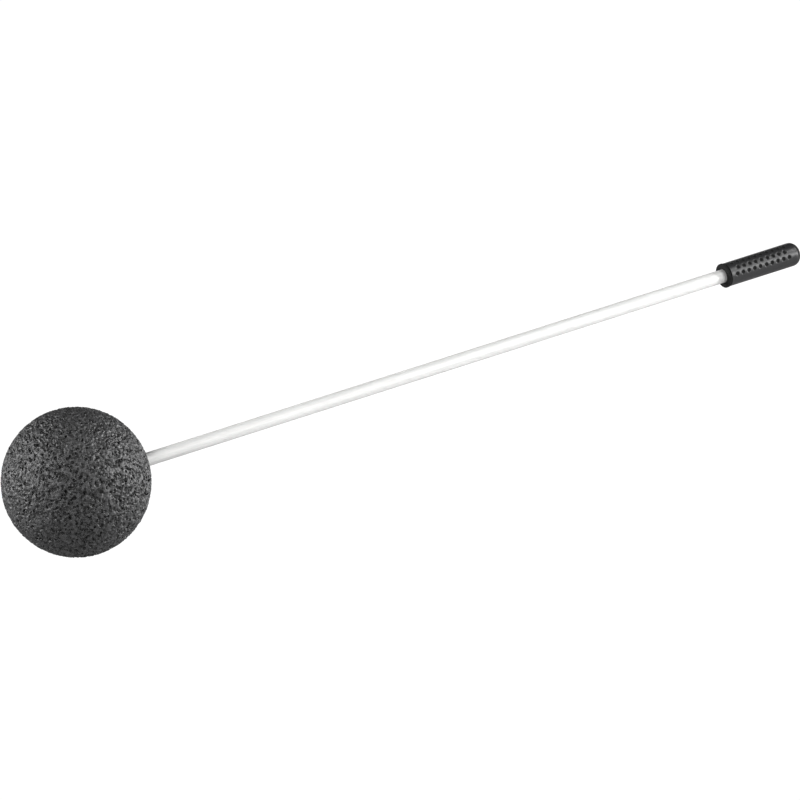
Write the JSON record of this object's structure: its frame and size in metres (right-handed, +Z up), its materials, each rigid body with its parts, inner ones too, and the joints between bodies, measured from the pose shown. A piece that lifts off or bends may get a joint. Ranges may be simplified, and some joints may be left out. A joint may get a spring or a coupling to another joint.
{
  "type": "gong mallet",
  "caption": "Gong mallet: a rough-skinned black rubber ball on a straight white rod, with a closed black rubber grip.",
  "frame": {"origin": "on the surface that the mallet lies on, under the middle of its box", "axes": "+X along the mallet's length, from the ball towards the grip; +Z up. The mallet's own axis falls 4.1 degrees towards the grip, because ball and butt both touch the surface"},
  "size_m": [0.423, 0.0659, 0.066],
  "materials": {
    "ball_rubber": "matt black rubber with a coarse, crumbed skin",
    "rod_fibreglass": "white glass-fibre rod, slightly translucent, polished",
    "grip_rubber": "moulded black rubber, satin"
  },
  "bodies": {
    "root": {"ball_head": "ball_rubber", "rod": "rod_fibreglass", "grip": "grip_rubber"}
  },
  "joints": []
}
